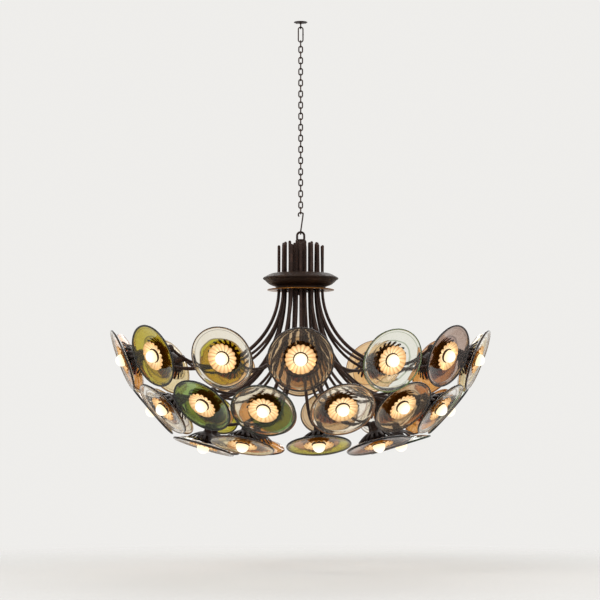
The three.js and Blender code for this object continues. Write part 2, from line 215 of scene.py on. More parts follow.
def finished(name, mesh, material, body, slot, *nodes, sharp=35):
    """An object for a mesh: smooth but for its sharp edges, on its body, in place of its CAD nodes."""
    mesh.name = name
    mesh.materials.clear()
    mesh.materials.append(material)
    mesh.polygons.foreach_set("use_smooth", [True] * len(mesh.polygons))
    mesh.set_sharp_from_angle(angle=math.radians(sharp))
    piece = bpy.data.objects.new(name, mesh)
    scene.collection.objects.link(piece)
    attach(piece, body)
    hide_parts(*nodes)


def eased(corners, radius, steps=3, closed=False):
    """A profile with its corners rounded."""
    made = []
    for i, (r, z) in enumerate(corners):
        here = Vector((r, z))
        before, after = Vector(corners[i - 1]), Vector(corners[(i + 1) % len(corners)])
        if not closed and i in (0, len(corners) - 1):
            made.append((r, z))
            continue
        reach = min(radius, 0.45 * (before - here).length, 0.45 * (after - here).length)
        start = here + (before - here).normalized() * reach
        end = here + (after - here).normalized() * reach
        for k in range(steps + 1):
            t = k / steps
            point = start * (1 - t) ** 2 + here * 2 * t * (1 - t) + end * t * t
            made.append((max(point.x, 0.0), point.y))
    return made


def turned(profile, sides, closed=False):
    """A turned shape about Z. The profile runs down the outside; a closed one comes back up a bore."""
    shape = bmesh.new()
    rings = []
    for r, z in profile:
        if r < 1e-7:
            rings.append([shape.verts.new((0, 0, z))] * sides)
        else:
            turns = [2 * math.pi * k / sides for k in range(sides)]
            rings.append([shape.verts.new((r * math.cos(a), r * math.sin(a), z)) for a in turns])
    pairs = list(zip(rings, rings[1:])) + ([(rings[-1], rings[0])] if closed else [])
    for upper, lower in pairs:
        for k in range(sides):
            n = (k + 1) % sides
            corners = list(dict.fromkeys((upper[k], lower[k], lower[n], upper[n])))
            if len(corners) > 2:
                shape.faces.new(corners)
    return settled(shape)


def settled(shape):
    """The mesh that mesh code has made."""
    mesh = bpy.data.meshes.new("shape")
    shape.to_mesh(mesh)
    shape.free()
    return mesh


def together(*meshes):
    """Several meshes as one."""
    shape = bmesh.new()
    for mesh in meshes:
        shape.from_mesh(mesh)
    return settled(shape)


def moved(mesh, x, y, z):
    """A mesh in another place."""
    mesh.transform(Matrix.Translation((x, y, z)))
    return mesh


def traced(paths, closed=False):
    """Paths as a mesh of edges. Closed ones join their ends."""
    mesh = bpy.data.meshes.new("traced")
    points, edges = [], []
    for path in paths:
        first = len(points)
        points += [tuple(p) for p in path]
        edges += [(first + i, first + i + 1) for i in range(len(path) - 1)]
        if closed:
            edges.append((len(points) - 1, first))
    mesh.from_pydata(points, edges, [])
    return mesh


def flowing(stops, steps):
    """A smooth path through a list of points."""
    path = []
    ends = [stops[0] * 2 - stops[1], *stops, stops[-1] * 2 - stops[-2]]
    for a, b, c, d in zip(ends, ends[1:], ends[2:], ends[3:]):
        for k in range(steps):
            t = k / steps
            square, cube = 2 * a - 5 * b + 4 * c - d, 3 * b - a - 3 * c + d
            path.append(0.5 * (2 * b + (c - a) * t + square * t**2 + cube * t**3))
    return [*path, stops[-1]]


def shape_tree(name, sizes):
    """A Geometry Nodes group that takes a seed, its sizes by name and a material."""
    inputs = {"Geometry": "Geometry", **sizes, "Material": "Material"}
    return open_tree(name, "GeometryNodeTree", inputs, {"Geometry": "Geometry"})


def close_tree(geometry):
    """The end of such a group: its copies made real, with their material."""
    tree = geometry.tree
    real = result(tree, "GeometryNodeRealizeInstances", {"Geometry": geometry})
    made = result(tree, "GeometryNodeSetMaterial", {"Geometry": real, "Material": given["Material"]})
    fill(tree, taken, {"Geometry": made})


# Round bar along a path. The ends of an open bar are rounded over its own radius.
bar_tree, given, taken = shape_tree("round_bar", {"Bar radius": 0.003, "Sides": 12, "Rounded ends": 1.0})
along = result(bar_tree, "GeometryNodeSplineParameter", output="Length")
whole = result(bar_tree, "GeometryNodeSplineLength", output="Length")
to_end = along.by("MINIMUM", whole - along)
inset = 1.0 - (to_end / given["Bar radius"]).by("MINIMUM", 1.0)
swell = (1.0 - inset * inset).by("MAXIMUM", 0.02).by("SQRT")
share = swell * given["Rounded ends"] + (1.0 - given["Rounded ends"])
round_section = {"Resolution": given["Sides"], "Radius": given["Bar radius"]}
section = result(bar_tree, "GeometryNodeCurvePrimitiveCircle", round_section)
lines = result(bar_tree, "GeometryNodeMeshToCurve", {"Mesh": given["Geometry"]})
sized = result(bar_tree, "GeometryNodeSetCurveRadius", {"Curve": lines, "Radius": share})
bars = put(bar_tree, "GeometryNodeCurveToMesh", {"Curve": sized, "Profile Curve": section, "Fill Caps": True})
if "Scale" in bars.inputs:
    fill(bar_tree, bars.inputs, {"Scale": share})
close_tree(Amount(bar_tree, bars.outputs[0]))


def made_plain(holder):
    """The plain mesh that an object's modifier makes. The object goes."""
    graph = bpy.context.evaluated_depsgraph_get()
    mesh = bpy.data.meshes.new_from_object(holder.evaluated_get(graph), depsgraph=graph)
    bpy.data.objects.remove(holder)
    return mesh


def held(mesh):
    """An object that holds a mesh for a moment."""
    holder = bpy.data.objects.new("holder", mesh)
    scene.collection.objects.link(holder)
    return holder


def grown(seed, tree, sizes, material):
    """The plain mesh that a Geometry Nodes tree makes from a seed mesh."""
    holder = held(seed)
    modifier = holder.modifiers.new("grow", "NODES")
    modifier.node_group = tree
    values = {**sizes, "Material": material}
    for item in tree.interface.items_tree:
        if item.in_out == "INPUT" and item.name in values:
            modifier[item.identifier] = values[item.name]
    return made_plain(holder)


def facing_out(mesh):
    """Turns a closed mesh's faces outwards."""
    shape = bmesh.new()
    shape.from_mesh(mesh)
    bmesh.ops.remove_doubles(shape, verts=shape.verts, dist=1e-7)
    bmesh.ops.recalc_face_normals(shape, faces=shape.faces)
    shape.to_mesh(mesh)
    shape.free()
    return mesh


def round_bars(paths, radius, sides, material, closed=False):
    """Round bars along paths. Their ends are rounded, unless they close on themselves."""
    sizes = {"Bar radius": radius, "Sides": sides, "Rounded ends": 0.0 if closed else 1.0}
    return facing_out(grown(traced(paths, closed), bar_tree, sizes, material))


hook_iron = forged_metal("hook_iron", "190E09", "3C2618", "462611", grain=1.6, wear=0.6, dull=0.52, metallic=0.3)
flange_profile = [
    (0, FLANGE_FACE), (FLANGE_RADIUS, FLANGE_FACE), (FLANGE_RADIUS, -0.0014), (0.012, -0.0026),
    (0.007, -FLANGE_THICKNESS), (0, -FLANGE_THICKNESS),
]
flange = turned(eased(flange_profile, 0.0006), 48)
collar_profile = [(0.0, -0.0024), (0.0046, -0.0026), (0.0043, -0.0042), (0.0026, -0.0050), (0.0, -0.0050)]
collar = turned(eased(collar_profile, 0.0005), 32)
head_profile = [
    (0, 0.0008), (0.0007, 0.0008), (SCREW_HEAD * 0.75, 0.0004),
    (SCREW_HEAD, -0.0005), (SCREW_HEAD, -0.001), (0, -0.001),
]
screws = []
for k in range(SCREWS):
    turn = 2 * math.pi * k / SCREWS + 0.4
    head = turned(eased(head_profile, 0.0003), 20)
    head.transform(Matrix.Rotation(math.pi, 4, "X"))
    screws.append(moved(head, SCREW_CIRCLE * math.cos(turn), SCREW_CIRCLE * math.sin(turn), SCREW_SEAT))
eye_height = -FLANGE_THICKNESS - HOOK_SHANK - HOOK_BEND
stops = [Vector((0, 0, -FLANGE_THICKNESS / 2))]
for k in range(HOOK_STEPS + 1):
    angle = k * HOOK_TURN / HOOK_STEPS
    stops.append(Vector((0, HOOK_BEND * math.sin(angle), eye_height + HOOK_BEND * math.cos(angle))))
hook_bar = round_bars([flowing(stops, 6)], HOOK_WIRE, 16, hook_iron)
ceiling_hook = together(flange, collar, *screws, hook_bar)
finished("ceiling_hook_forged", ceiling_hook, hook_iron, "ceiling", "forged_chain", "ceiling_hook")

# --------------------------------
# Long link: one larger oval link that drops from the hook's eye to the chain. It is bent from
# round bar, closed, and forge welded on one leg, where the bar is a little thicker.
LONG_LINK_WIRE = 0.0017
LONG_LINK_BEND = 0.0062
LONG_LINK_LENGTH = 0.0402
LONG_LINK_HEIGHT = -0.0338
LINK_STEPS = 28
oval = []
for k in range(LINK_STEPS):
    angle = 2 * math.pi * (k + 0.5) / LINK_STEPS
    up = LONG_LINK_BEND * math.sin(angle)
    up += math.copysign(LONG_LINK_LENGTH / 2 - LONG_LINK_BEND, up)
    oval.append(Vector((LONG_LINK_BEND * math.cos(angle), 0, LONG_LINK_HEIGHT + up)))
chain_iron = forged_metal("chain_iron", "22130C", "492E1C", "532F16", grain=2.2, wear=0.65, dull=0.5, metallic=0.35)
weld = turned(eased([(0, 0.0030), (0.0019, 0.0022), (0.0021, 0), (0.0019, -0.0022), (0, -0.0030)], 0.001), 16)
weld = moved(weld, LONG_LINK_BEND, 0, LONG_LINK_HEIGHT)
long_link = together(round_bars([oval], LONG_LINK_WIRE, 16, chain_iron, closed=True), weld)
finished("long_link_forged", long_link, chain_iron, "long_link", "forged_chain", "long_link")

# --------------------------------
# Chain: thirty-one small oval links of round iron, each turned a quarter against the last. The
# fixture swings between three lengths of it, so each length is one piece.
CHAIN_WIRE = 0.0016
CHAIN_SWELL = 0.00015
CHAIN_BEND = 0.0049
CHAIN_LINK = 0.017621
CHAIN_RUNS = (16, 8, 7)
WELD_DEPTH = 0.0005
SWING_GAP = 0.0004
STEEP = 3000.0
LINK_SIZES = {
    "Pitch": CHAIN_LINK - 2 * CHAIN_WIRE + WELD_DEPTH,
    "Bend radius": CHAIN_BEND,
    "Leg": CHAIN_LINK / 2 - CHAIN_BEND,
    "Wire radius": CHAIN_WIRE + CHAIN_SWELL,
}
chain_tree, given, taken = shape_tree("chain_of_links", {"Links": 8, "First quarter": 0.0, **LINK_SIZES})


def parts_of(tree):
    """The three parts of where each point of a tree's shape is."""
    parts = put(tree, "ShaderNodeSeparateXYZ", {0: result(tree, "GeometryNodeInputPosition")})
    return [Amount(tree, part) for part in parts.outputs]


def vector_of(tree, **parts):
    """A vector from its parts by name."""
    return result(tree, "ShaderNodeCombineXYZ", parts)


# A circle becomes an oval: what is above its middle goes up by a leg, and what is below goes down
ring_size = {"Resolution": LINK_STEPS, "Radius": given["Bend radius"]}
circle = result(chain_tree, "GeometryNodeCurvePrimitiveCircle", ring_size)
upright = result(chain_tree, "GeometryNodeTransform", {"Geometry": circle, "Rotation": (math.pi / 2, 0, 0)})
stretch = (parts_of(chain_tree)[2] * STEEP).by("MAXIMUM", -1.0).by("MINIMUM", 1.0) * given["Leg"]
legs = {"Geometry": upright, "Offset": vector_of(chain_tree, Z=stretch)}
pulled = result(chain_tree, "GeometryNodeSetPosition", legs)
wire_size = {"Resolution": 12, "Radius": given["Wire radius"]}
section = result(chain_tree, "GeometryNodeCurvePrimitiveCircle", wire_size)
link = result(chain_tree, "GeometryNodeCurveToMesh", {"Curve": pulled, "Profile Curve": section})
spacing = {"Count": given["Links"], "Offset": vector_of(chain_tree, Z=given["Pitch"] * -1.0)}
hangers = result(chain_tree, "GeometryNodeMeshLine", spacing, mode="OFFSET")
number = result(chain_tree, "GeometryNodeInputIndex")
quarter = (number + given["First quarter"]).by("MODULO", 2.0) * (math.pi / 2)
links_hung = {"Points": hangers, "Instance": link, "Rotation": vector_of(chain_tree, Z=quarter)}
close_tree(result(chain_tree, "GeometryNodeInstanceOnPoints", links_hung))


def grown_alone(tree, sizes, material):
    """What a tree makes by itself, from a seed of one point."""
    return facing_out(grown(traced([[Vector()]]), tree, sizes, material))


lowest = LONG_LINK_HEIGHT - LONG_LINK_LENGTH / 2
wire_above = LONG_LINK_WIRE
number_above = 0
for run, count in enumerate(CHAIN_RUNS):
    first = lowest + wire_above + CHAIN_WIRE + SWING_GAP - CHAIN_LINK / 2
    sizes = {**LINK_SIZES, "Links": count, "First quarter": float((number_above + 1) % 2)}
    links = moved(grown_alone(chain_tree, sizes, chain_iron), 0, 0, first)
    name = f"chain_run_{run + 1}"
    finished(name + "_links", links, chain_iron, name, "forged_chain", name)
    lowest = first - (count - 1) * LINK_SIZES["Pitch"] - CHAIN_LINK / 2
    wire_above = CHAIN_WIRE
    number_above += count

# --------------------------------
# S hook: a long hook twisted a quarter turn, so that its upper eye takes the chain's last link
# and its lower eye the fixture's loop. It is forged from slightly heavier bar than the chain.
S_HOOK_WIRE = 0.0019
S_HOOK_BEND = 0.0062
S_HOOK_LENGTH = 0.0577
S_HOOK_HEIGHT = -0.5386
EYE_TURN = 1.3 * math.pi
EYE_STEPS = 8
eye_centre = S_HOOK_LENGTH / 2 - S_HOOK_BEND
turns = [k * EYE_TURN / EYE_STEPS - math.pi / 2 for k in range(EYE_STEPS + 1)]
bends = [(S_HOOK_BEND * math.sin(angle), eye_centre + S_HOOK_BEND * math.cos(angle)) for angle in turns]
upper_eye = [Vector((-across, 0, S_HOOK_HEIGHT + up)) for across, up in reversed(bends)]
lower_eye = [Vector((0, across, S_HOOK_HEIGHT - up)) for across, up in bends]
s_hook = round_bars([flowing([*upper_eye, *lower_eye], 6)], S_HOOK_WIRE, 16, chain_iron)
finished("s_hook_forged", s_hook, chain_iron, "s_hook", "forged_chain", "s_hook")

# --------------------------------
# Top loop: an iron stirrup on a turned button. A spigot under the button goes down into the
# centre post, which turns on it.
POST_TOP = -0.58745
LOOP_WIRE = 0.003
LOOP_BEND = 0.0094
LOOP_WIRE_HEIGHT = 0.0253
LOOP_BASE = 0.006
LOOP_STEPS = 12
POST_TOP_RADIUS = 0.0137
SPIGOT_RADIUS = 0.0055
SPIGOT_LENGTH = 0.012
SLIP = 0.0003
loop_iron = forged_metal("loop_iron", "22130C", "402A1D", "4C2B14", grain=1.4, wear=0.5, dull=0.52, metallic=0.3)
button_profile = [
    (0, LOOP_BASE + SLIP), (POST_TOP_RADIUS - 0.003, LOOP_BASE + SLIP), (POST_TOP_RADIUS, LOOP_BASE - 0.0015),
    (POST_TOP_RADIUS, 0.0022), (POST_TOP_RADIUS - 0.0008, 0.0016), (POST_TOP_RADIUS, 0.001), (POST_TOP_RADIUS, SLIP),
    (SPIGOT_RADIUS, SLIP), (SPIGOT_RADIUS, -SPIGOT_LENGTH), (0, -SPIGOT_LENGTH),
]
stops = [Vector((-LOOP_BEND, 0, LOOP_BASE / 2))]
for k in range(LOOP_STEPS + 1):
    angle = math.pi - k * math.pi / LOOP_STEPS
    stops.append(Vector((LOOP_BEND * math.cos(angle), 0, LOOP_WIRE_HEIGHT - LOOP_BEND * (1 - math.sin(angle)))))
stops.append(Vector((LOOP_BEND, 0, LOOP_BASE / 2)))
stirrup = round_bars([flowing(stops, 4)], LOOP_WIRE, 18, loop_iron)
top_loop = moved(together(turned(eased(button_profile, 0.0006), 48), stirrup), 0, 0, POST_TOP)
finished("top_loop_forged", top_loop, loop_iron, "loop", "forged_chain", "top_loop")

# --------------------------------
# Centre post: a blackened steel tube with a slimmer turned head. It carries the rings, and its
# lower end is closed by a shallow cap.
POST_RADIUS = 0.016
POST_STEP = 0.0123
POST_LENGTH = 0.134
SOCKET_RADIUS = SPIGOT_RADIUS + 2 * SLIP
SOCKET_DEPTH = SPIGOT_LENGTH + 2 * SLIP
post_steel = forged_metal(
    "post_steel", "24140E", "3E281E", "4A2A16", grain=0.7, wear=0.5, dull=0.46, metallic=0.35, relief=0.2
)
post_profile = [
    (0, -SOCKET_DEPTH), (SOCKET_RADIUS, -SOCKET_DEPTH), (SOCKET_RADIUS, 0), (POST_TOP_RADIUS, 0),
    (POST_TOP_RADIUS, -0.0066), (POST_TOP_RADIUS - 0.0007, -0.0072), (POST_TOP_RADIUS, -0.0078),
    (POST_TOP_RADIUS, -POST_STEP + 0.0016), (POST_RADIUS, -POST_STEP), (POST_RADIUS, -POST_LENGTH),
    (POST_RADIUS * 0.82, -POST_LENGTH - 0.005), (POST_RADIUS * 0.35, -POST_LENGTH - 0.008), (0, -POST_LENGTH - 0.008),
]
post = moved(turned(eased(post_profile, 0.0008), 64), 0, 0, POST_TOP)
finished("centre_post_turned", post, post_steel, "fixture", "blackened_steel", "centre_post")

# --------------------------------
# Lock nut: a chamfered hexagon nut under the rings. It is screwed up the post and holds the
# rings and the collar in place.
NUT_WIDTH = 0.022
NUT_HEIGHT = 0.008
NUT_CHAMFER = 0.93
NUT_BEVEL = 0.001
RING_BOTTOM = -0.0927
FLAT_STEPS = 8
nut_top, nut_bottom = RING_BOTTOM - SLIP, RING_BOTTOM - SLIP - NUT_HEIGHT
nut_levels = (
    (nut_top, NUT_CHAMFER), (nut_top - NUT_BEVEL, 1.0), (nut_bottom + NUT_BEVEL, 1.0), (nut_bottom, NUT_CHAMFER),
)
turns = [2 * math.pi * k / (6 * FLAT_STEPS) for k in range(6 * FLAT_STEPS)]
flats = [
    NUT_WIDTH * math.cos(math.pi / 6) / math.cos((angle + math.pi / 6) % (math.pi / 3) - math.pi / 6) for angle in turns
]
levels = [([min(flat, NUT_WIDTH * spread) for flat in flats], level) for level, spread in nut_levels]
levels += [([POST_RADIUS + SLIP] * len(turns), level) for level in (nut_bottom, nut_top)]
nut = bmesh.new()
nut_rings = [
    [nut.verts.new((r * math.cos(a), r * math.sin(a), level)) for r, a in zip(radii, turns)] for radii, level in levels
]
for upper, lower in zip(nut_rings, nut_rings[1:] + nut_rings[:1]):
    for k in range(len(turns)):
        n = (k + 1) % len(turns)
        nut.faces.new((upper[k], lower[k], lower[n], upper[n]))
nut_mesh = moved(settled(nut), 0, 0, POST_TOP)
finished("lock_nut_hexagon", nut_mesh, post_steel, "fixture", "blackened_steel", "lock_nut", sharp=25)

# --------------------------------
# Collar dish: a spun iron dish around the rings, with a rolled rim and a neck below. It hides
# the welds, and the arms fan out from under it.
DISH_BORE = 0.0635
DISH_RADIUS = 0.1
DISH_TOP = -0.0847
NECK_DROP = 0.0415
dish_iron = forged_metal(
    "dish_iron", "22140C", "442B1A", "502C12", grain=0.45, wear=0.75, dull=0.5, metallic=0.3, relief=0.25, depth=0.0006
)
# The dish's outline, each point with its drop from the top
dish_outline = [
    (DISH_BORE, 0), (DISH_BORE + 0.008, -0.0004), (DISH_BORE + 0.016, 0.0006), (0.087, 0.0042), (0.0945, 0.0088),
    (0.0985, 0.0104), (DISH_RADIUS, 0.0128), (0.0985, 0.0156), (0.0948, 0.0172), (0.0905, 0.0220), (0.0835, 0.0278),
    (0.0785, 0.0304), (0.0705, 0.0332), (0.0668, 0.0345), (0.0662, 0.0362), (0.0653, 0.0378), (0.0653, NECK_DROP),
    (DISH_BORE, NECK_DROP),
]


def turned_ring(profile, radius, sides):
    """A turned ring with its corners eased."""
    return turned(eased(profile, radius, closed=True), sides, closed=True)


dish = turned_ring([(r, DISH_TOP - drop) for r, drop in dish_outline], 0.002, 96)
finished("collar_dish_spun", moved(dish, 0, 0, POST_TOP), dish_iron, "fixture", "dark_iron", "collar_dish", sharp=50)

# --------------------------------
# Collar plate: a thin plate of tarnished brass under the dish, pressed with a bead near its
# edge. The lamps below light it from underneath.
PLATE_RADIUS = 0.0885
PLATE_THICKNESS = 0.003
PLATE_EDGE = 0.0006
plate_top = DISH_TOP - NECK_DROP - SLIP
plate_brass = forged_metal(
    "plate_brass", "7A4E20", "A8742F", "4A3016", grain=0.5, wear=0.8, dull=0.3, metallic=0.85, relief=0.15
)
plate_profile = [
    (DISH_BORE, plate_top), (0.077, plate_top), (0.079, plate_top + 0.0009), (0.082, plate_top + 0.0009),
    (0.084, plate_top), (PLATE_RADIUS - PLATE_EDGE, plate_top - 0.0002),
    (PLATE_RADIUS, plate_top - PLATE_THICKNESS / 2), (PLATE_RADIUS - PLATE_EDGE, plate_top - PLATE_THICKNESS),
    (DISH_BORE, plate_top - PLATE_THICKNESS),
]
plate = moved(turned_ring(plate_profile, 0.0008, 96), 0, 0, POST_TOP)
finished("collar_plate_pressed", plate, plate_brass, "fixture", "aged_brass", "collar_plate")

# --------------------------------
# Arms: iron rods that stand up through a ring like organ pipes, fall, run outwards and rise a
# little into their lampholders. Each is bent by hand, so no two tops or lamps are quite level.
ROD_RADIUS = 0.0038
LEAN = 0.0011
LEAN_UP = 0.0012
HOLDER_BACK = 0.050
ARM_IN_HOLDER = 0.004
# Azimuths from the front, the pane's dip and the arm's arrival in degrees, and drops in millimetres
TIERS = {
    "upper": {
        "nodes": ["upper_arm_tier"],
        "azimuths": [0, 28.5, 51.6, 76.4, 102.9, 128.6, 154.3, 180, 205.7, 231.4, 257.1, 281.2, 308.3, 336],
        "drops": [16, 16, 0, 2, 0, 5, 0, 8, 0, 4, 0, 2, 0, 12],
        "ring": 0.0588, "reach": 0.458, "height": -0.3097, "dip": 21, "rod_top": -0.0097, "bend_start": -0.1287,
        "fall": 0.088, "run_out": 0.170, "saddle_back": 0.158, "saddle_drop": 0.025, "arrive": 40,
    },
    "middle": {
        "nodes": ["middle_arm_tier"],
        "azimuths": [15.4 + i * 331 / 13 for i in range(14)],
        "drops": [5, -2, 0, 0, 2, 0, 0, 3, 0, 0, 1, 0, -6, 8],
        "ring": 0.0444, "reach": 0.380, "height": -0.4357, "dip": 41, "rod_top": -0.0012, "bend_start": -0.1277,
        "fall": 0.135, "run_out": 0.150, "saddle_back": 0.112, "saddle_drop": -0.022, "arrive": 8,
    },
    "lower": {
        "nodes": [f"lower_arm_{i + 1:02d}" for i in range(9)],
        "azimuths": [10, 49.2, 89, 129, 168.7, 208.3, 247.5, 286.6, 326],
        "drops": [0, 0, -2, 0, 2, 0, 0, 3, 0],
        "ring": 0.0300, "reach": 0.259, "height": -0.5247, "dip": 73, "rod_top": -0.004, "bend_start": -0.1277,
        "fall": 0.215, "run_out": 0.115, "saddle_back": 0.062, "saddle_drop": -0.043, "arrive": 15,
    },
}


def lamp_places(tier):
    """The way out to each lamp of a tier, and its pane's middle, right, up and forward as a matrix."""
    places = []
    for azimuth, drop in zip(tier["azimuths"], tier["drops"]):
        a, dip = math.radians(azimuth), math.radians(tier["dip"])
        out = Vector((math.sin(a), -math.cos(a), 0))
        right = Vector((math.cos(a), math.sin(a), 0))
        forward = out * math.cos(dip) + Vector((0, 0, -math.sin(dip)))
        matrix = Matrix((right, forward.cross(right), forward)).transposed().to_4x4()
        matrix.translation = out * tier["reach"] + Vector((0, 0, POST_TOP + tier["height"] - drop * 0.001))
        places.append((out, forward, matrix))
    return places


def bezier(a, b, c, d, steps):
    """A curved path from a to d, drawn by b and c."""
    spans = [k / steps for k in range(steps + 1)]
    return [a * (1 - t) ** 3 + b * 3 * t * (1 - t) ** 2 + c * 3 * t * t * (1 - t) + d * t**3 for t in spans]


def arm_path(tier, place, lean):
    """The middle of a rod, from its leaning top to the inside of its lampholder."""
    out, forward, matrix = place
    centre = matrix.translation

    def at(r, z):
        return out * r + Vector((0, 0, 1)) * z

    shoulder = at(tier["ring"], POST_TOP + DISH_TOP + 0.002)
    bend = at(tier["ring"], POST_TOP + tier["bend_start"])
    below = at(tier["ring"], POST_TOP + tier["bend_start"] - tier["fall"])
    saddle_r = tier["reach"] - tier["saddle_back"]
    saddle_z = centre.z - tier["saddle_drop"]
    saddle = at(saddle_r, saddle_z)
    end = centre + forward * (ARM_IN_HOLDER - HOLDER_BACK)
    lead = (saddle - end).length / 3
    arrival = at(math.cos(math.radians(tier["arrive"])), math.sin(math.radians(tier["arrive"])))
    crown = at(tier["ring"], POST_TOP + tier["rod_top"]) + lean
    tip = (crown - shoulder).normalized()
    rounding = [crown - tip * ROD_RADIUS * t for t in (0, 0.08, 0.25, 0.5, 0.75, 1.0)]
    upright = [rounding[-1].lerp(shoulder, k / 6) for k in range(1, 7)]
    fall = bezier(bend, below, at(saddle_r - tier["run_out"], saddle_z), saddle, 26)
    rise = bezier(saddle, at(saddle_r + lead, saddle_z), end - arrival * lead, end, 14)
    return [*rounding, *upright, *fall, *rise[1:]]


arm_iron = forged_metal(
    "arm_iron", "27150D", "462B1D", "562F12", grain=0.9, wear=0.6, dull=0.56, metallic=0.25, relief=0.3
)
by_hand = random.Random(11)
for name, tier in TIERS.items():
    tier["places"] = lamp_places(tier)
    leans = [Vector([by_hand.uniform(-1, 1) * most for most in (LEAN, LEAN, LEAN_UP)]) for _ in tier["places"]]
    paths = [arm_path(tier, place, lean) for place, lean in zip(tier["places"], leans)]
    rods = round_bars(paths, ROD_RADIUS, 14, arm_iron)
    finished(f"{name}_rods", rods, arm_iron, "fixture", "dark_iron", *tier["nodes"])

# --------------------------------
# Rings: two flat iron rings, one inside the other, that the rods are welded into. A bead of
# weld runs round each rod on top of its ring.
RING_THICKNESS = 0.008
MIDDLE_RING_EDGE = 0.0508
UPPER_RING_EDGE = 0.0632
each_tree, given, taken = shape_tree("one_on_each_point", {"Part": "Object"})
facing = result(each_tree, "GeometryNodeInputNamedAttribute", {"Name": "facing"}, "Attribute", data_type="FLOAT_VECTOR")
part = result(each_tree, "GeometryNodeObjectInfo", {"Object": given["Part"]}, "Geometry")
spots = {"Points": given["Geometry"], "Instance": part, "Rotation": facing}
close_tree(result(each_tree, "GeometryNodeInstanceOnPoints", spots))


def on_each(part_mesh, matrices, material):
    """One copy of a part at each place, as one mesh."""
    points = bpy.data.meshes.new("points")
    points.from_pydata([tuple(m.translation) for m in matrices], [], [])
    attribute = points.attributes.new("facing", "FLOAT_VECTOR", "POINT")
    for i, m in enumerate(matrices):
        attribute.data[i].vector = m.to_euler()
    part_object = held(part_mesh)
    mesh = grown(points, each_tree, {"Part": part_object}, material)
    bpy.data.objects.remove(part_object)
    return mesh


ring_iron = forged_metal("ring_iron", "24150E", "402A1D", "4C2B15", grain=0.8, wear=0.6, dull=0.55, metallic=0.3)
bead_profile = [
    (ROD_RADIUS - 0.0005, 0.0022), (ROD_RADIUS + 0.0003, 0.0016), (ROD_RADIUS + 0.0014, 0.0004),
    (ROD_RADIUS + 0.0016, -0.0004), (ROD_RADIUS - 0.0005, -0.0004),
]
ring_sizes = {
    "upper": (MIDDLE_RING_EDGE + SLIP, UPPER_RING_EDGE),
    "middle": (POST_RADIUS + SLIP, MIDDLE_RING_EDGE),
}
for name, (bore, edge) in ring_sizes.items():
    tier = TIERS[name]
    ring_bottom = DISH_TOP - RING_THICKNESS
    ring = turned_ring([(bore, DISH_TOP), (edge, DISH_TOP), (edge, ring_bottom), (bore, ring_bottom)], 0.0006, 96)
    beads = [Matrix.Translation(out * tier["ring"] + Vector((0, 0, DISH_TOP))) for out, _, _ in tier["places"]]
    ring = together(ring, on_each(turned_ring(bead_profile, 0.0005, 20), beads, ring_iron))
    finished(f"{name}_ring", moved(ring, 0, 0, POST_TOP), ring_iron, "fixture", "dark_iron", tier["nodes"][0])

# --------------------------------
# Lampholders: turned iron cups with a grooved collar, a rounded back and a knuckle where the
# arm comes in. The neck goes forward through the pane to the reflector.
HEAD_NECK = 0.009
HEAD_COLLAR = 0.0105
GROOVE_FLOOR = 0.0098
KNUCKLE = 0.0056
KNUCKLE_BACK = -0.0465


def at_every_lamp(label, part_mesh, material, slot, sharp=35):
    """A copy of a part at every lamp, as one piece for each tier."""
    for name, tier in TIERS.items():
        copies = on_each(part_mesh, [matrix for _, _, matrix in tier["places"]], material)
        finished(f"{name}_{label}", copies, material, "fixture", slot, *tier["nodes"], sharp=sharp)


def groove(back):
    """A groove turned in the collar, from where it starts."""
    floor = [(GROOVE_FLOOR, back - 0.0008), (GROOVE_FLOOR, back - 0.0016)]
    return [(HEAD_COLLAR, back), *floor, (HEAD_COLLAR, back - 0.0024)]


holder_iron = forged_metal("holder_iron", "25150D", "452B1B", "532E13", grain=1.1, wear=0.55, dull=0.48, metallic=0.35)
holder_profile = [
    (0, 0.0036), (HEAD_NECK, 0.0036), (HEAD_NECK, -0.0205), (0.0098, -0.0225), (0.0122, -0.0235), (0.0126, -0.0258),
    (HEAD_COLLAR, -0.0270), *groove(-0.0310), *groove(-0.0350), (HEAD_COLLAR, -0.0440),
    (0.0092, -0.0475), (0.0060, -0.0494), (0.0050, -HOLDER_BACK), (0, -HOLDER_BACK),
]
turns = [math.pi * k / 10 for k in range(11)]
knuckle = turned([(KNUCKLE * math.sin(a), KNUCKLE * math.cos(a) + KNUCKLE_BACK) for a in turns], 24)
holder = together(turned(eased(holder_profile, 0.0006), 36), knuckle)
at_every_lamp("lampholders", holder, holder_iron, "dark_iron")

# --------------------------------
# Petal crowns: a cone of thin black sheet behind each pane, cut into eighteen petals with round
# tips that curl forward to the glass. The light from the lamp shows between them.
CROWN = {"Petals": 18, "Root radius": 0.0100, "Tip radius": 0.0455, "Back": -0.0245, "Front": -0.0022, "Cup": 0.0012}
CROWN_SHEET = 0.0009
PETAL_ACROSS = 7
PETAL_ALONG = 23
TIP_START = 0.86
TIP_WIDTH = 0.06
SEAM = 0.00002
petal_tree, given, taken = shape_tree("petal_crown", CROWN)


def sheet_of(tree, across, along):
    """A flat sheet a metre each way, and how far each point is across and along from its middle."""
    size = {"Size X": 1.0, "Size Y": 1.0, "Vertices X": across, "Vertices Y": along}
    return result(tree, "GeometryNodeMeshGrid", size), *parts_of(tree)[:2]


def laid(sheet, x, y, z):
    """A sheet with each point in its new place."""
    spot = {"Geometry": sheet, "Position": vector_of(sheet.tree, X=x, Y=y, Z=z)}
    return result(sheet.tree, "GeometryNodeSetPosition", spot)


def welded(geometry):
    """A shape whose meeting edges are joined."""
    return result(geometry.tree, "GeometryNodeMergeByDistance", {"Geometry": geometry, "Distance": SEAM})


